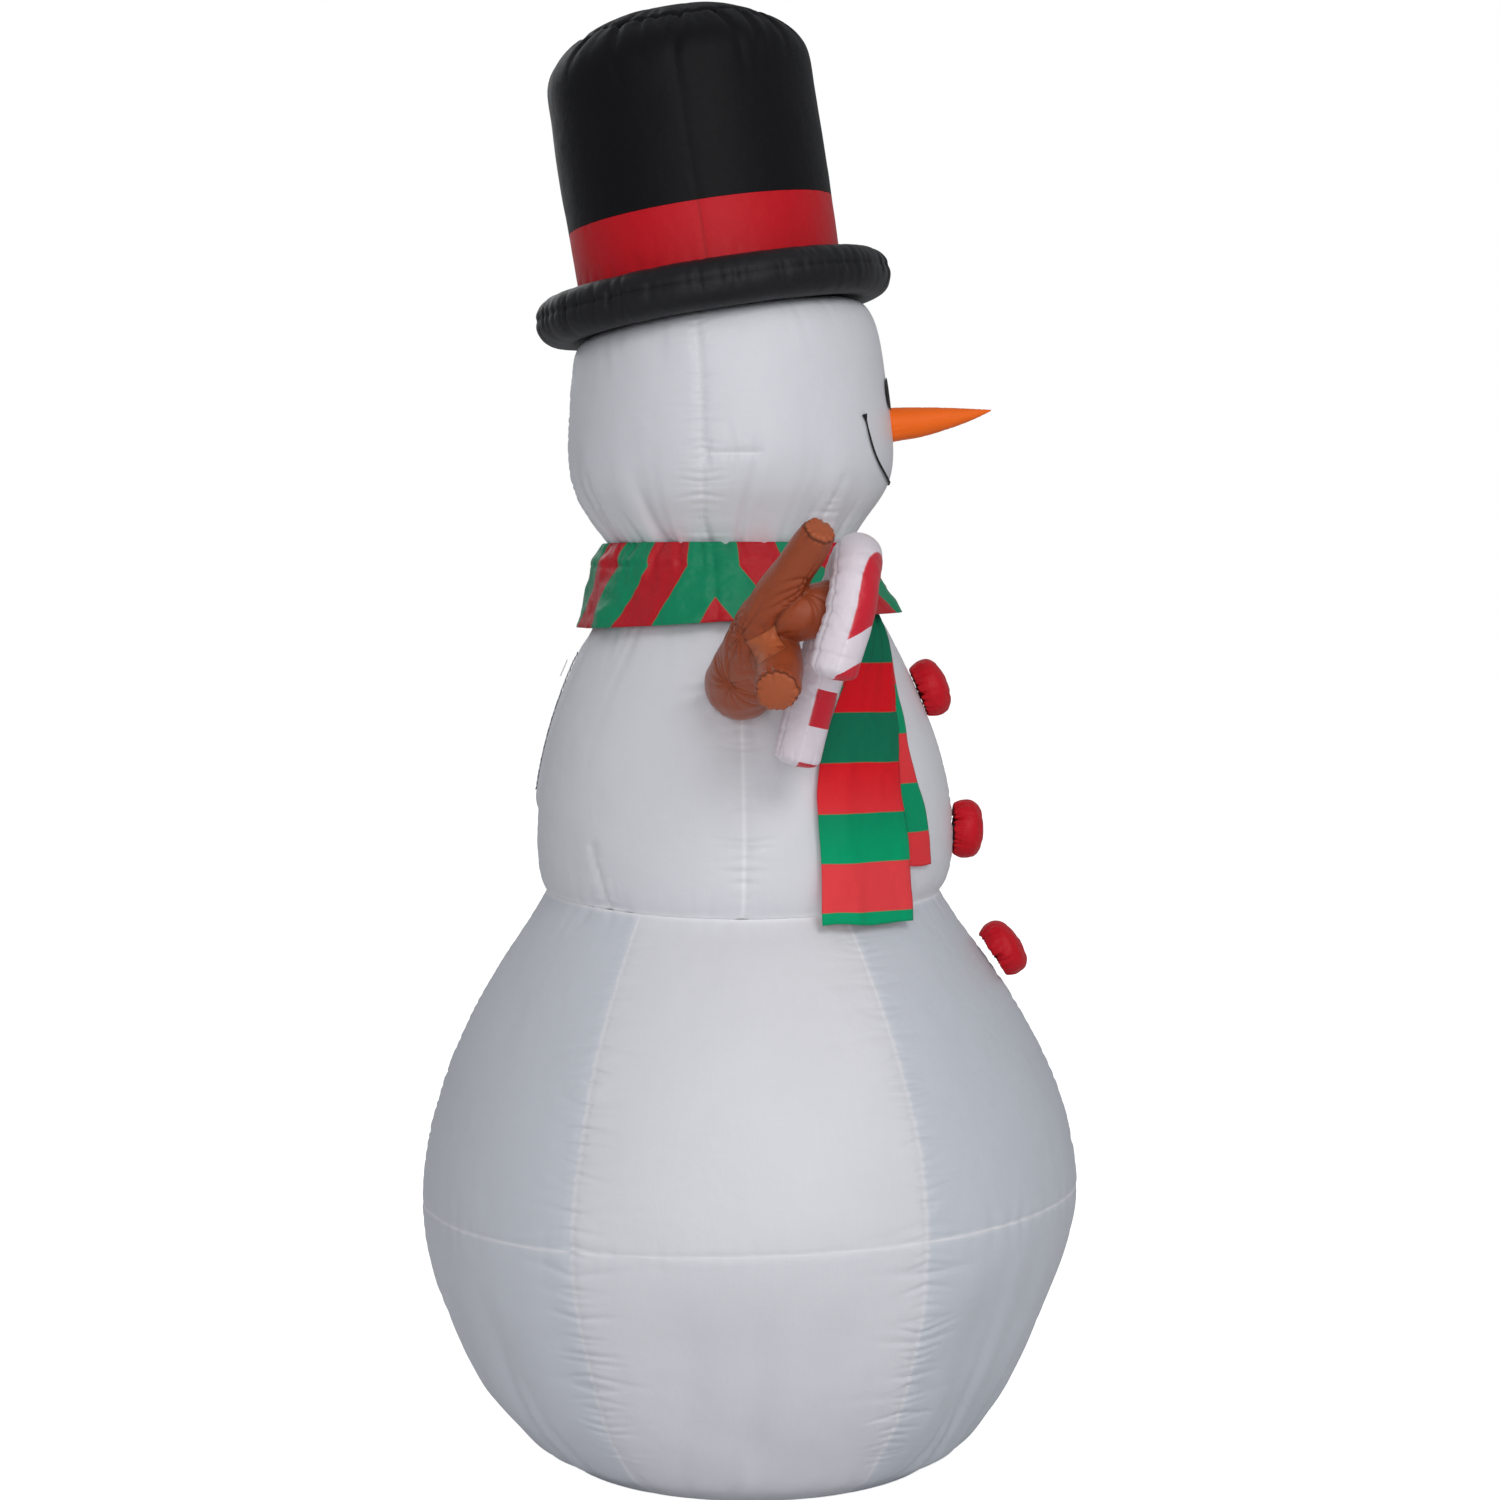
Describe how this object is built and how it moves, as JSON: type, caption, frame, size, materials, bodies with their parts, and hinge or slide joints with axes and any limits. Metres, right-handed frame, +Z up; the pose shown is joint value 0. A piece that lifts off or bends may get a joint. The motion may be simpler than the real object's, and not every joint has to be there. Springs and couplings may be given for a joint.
{
  "type": "inflatable yard snowman",
  "caption": "Tall inflatable snowman with top hat, striped scarf, branch arms, candy cane, cone nose and puffy buttons, kept up by a blower in the back of its base.",
  "frame": {"origin": "centre of the base panel, on the ground", "axes": "+Z up; the snowman faces -Y; its right arm, with the candy cane, is on the -X side"},
  "size_m": [1.9671, 1.642, 3.6628],
  "materials": {
    "white_fabric": "fine woven polyester, satin",
    "black_fabric": "woven polyester",
    "red_fabric": "woven polyester, satin",
    "scarf_fabric": "woven polyester printed with diagonal red and green stripes",
    "brown_fabric": "satin polyester",
    "orange_fabric": "woven polyester",
    "cane_fabric": "white polyester with red diagonal stripes",
    "black_print": "flat black applique",
    "black_plastic": "moulded",
    "grey_plastic": "moulded",
    "plated_steel": "plated",
    "cable_jacket": "smooth",
    "lamp_lens": "clear",
    "white_plastic": "moulded nylon"
  },
  "bodies": {
    "base": {"base_panel": "white_fabric", "lower_body_bottom_panels": "white_fabric", "lower_body_top_panels": "white_fabric", "button_bottom": "red_fabric", "lamp_cable_lower": "cable_jacket", "blower_sleeve": "white_fabric", "blower_clamp_ring": "black_plastic", "blower_housing": "black_plastic", "blower_guard": "black_plastic", "blower_motor": "plated_steel", "motor_spider": "black_plastic", "blower_screw_1": "plated_steel", "blower_screw_2": "plated_steel", "blower_screw_3": "plated_steel", "blower_screw_4": "plated_steel", "cord_strain_relief": "black_plastic", "power_cord": "cable_jacket", "power_adapter": "black_plastic"},
    "torso": {"torso_skin": "white_fabric", "waist_baffle": "white_fabric", "neck_baffle": "white_fabric", "neck_sleeve": "white_fabric", "button_top": "red_fabric", "button_middle": "red_fabric", "scarf_collar": "scarf_fabric", "zipper_tape": "white_fabric", "zipper_teeth": "white_plastic", "lamp_cable_torso": "cable_jacket", "lamp_cable_neck": "cable_jacket", "lamp_1": "lamp_lens", "lamp_2": "lamp_lens"},
    "head": {"head_skin": "white_fabric", "nose": "orange_fabric", "eye_right": "black_print", "eye_left": "black_print", "smile": "black_print", "hat_brim": "black_fabric", "hat_band": "red_fabric", "hat_crown": "black_fabric", "hat_top": "black_fabric", "lamp_cable_head": "cable_jacket", "lamp_cable_hat": "cable_jacket", "lamp_3": "lamp_lens", "lamp_4": "lamp_lens"},
    "right_arm": {"right_arm_branch": "brown_fabric", "right_arm_cap_upper": "brown_fabric", "right_arm_cap_front": "brown_fabric", "right_arm_cap_lower": "brown_fabric", "candy_cane": "cane_fabric"},
    "left_arm": {"left_arm_branch": "brown_fabric", "left_arm_cap_upper": "brown_fabric", "left_arm_cap_front": "brown_fabric", "left_arm_cap_lower": "brown_fabric"},
    "tail_long": {"scarf_tail_long": "scarf_fabric"},
    "tail_short": {"scarf_tail_short": "scarf_fabric"},
    "slider": {"zipper_slider": "plated_steel"},
    "pull": {"zipper_pull": "white_plastic"},
    "fan": {"impeller": "grey_plastic", "motor_shaft": "plated_steel"}
  },
  "joints": [
    {"name": "sink", "type": "slide", "parent": "base", "child": "torso", "axis": [0, 0, -1], "range_m": [0, 0.6], "deforming": ["lower_body_top_panels", "button_bottom", "lamp_cable_lower"]},
    {"name": "head_nod", "type": "hinge", "parent": "torso", "child": "head", "pos_m": [0, 0.045, 2.237], "axis": [1, 0, 0], "range_deg": [-4, 4], "deforming": ["neck_sleeve", "scarf_collar"]},
    {"name": "right_arm_bob", "type": "hinge", "parent": "torso", "child": "right_arm", "pos_m": [-0.432, 0.022, 1.949], "axis": [0, 1, 0], "range_deg": [-3, 6]},
    {"name": "left_arm_bob", "type": "hinge", "parent": "torso", "child": "left_arm", "pos_m": [0.432, 0.022, 1.949], "axis": [0, -1, 0], "range_deg": [-3, 6]},
    {"name": "long_tail_swing", "type": "hinge", "parent": "torso", "child": "tail_long", "pos_m": [-0.17041, -0.27643, 2.118], "axis": [-0.766, 0.6428, 0], "range_deg": [0, 14]},
    {"name": "short_tail_swing", "type": "hinge", "parent": "torso", "child": "tail_short", "pos_m": [-0.17041, -0.27643, 2.118], "axis": [-0.766, 0.6428, 0], "range_deg": [0, 14]},
    {"name": "zip_run", "type": "hinge", "parent": "torso", "child": "slider", "pos_m": [0, -0.649, 1.494], "axis": [-1, 0, 0], "range_deg": [0, 14.4]},
    {"name": "pull_lift", "type": "hinge", "parent": "slider", "child": "pull", "pos_m": [0, 0.46189, 1.99442], "axis": [1, 0, 0], "range_deg": [0, 100]},
    {"name": "fan_spin", "type": "hinge", "parent": "base", "child": "fan", "pos_m": [0, 0.701, 0.283], "axis": [0, 0.8988, -0.4384], "continuous": true}
  ],
  "couplings": [
    {"joint": "short_tail_swing", "follows": "long_tail_swing", "ratio": 0.85}
  ]
}
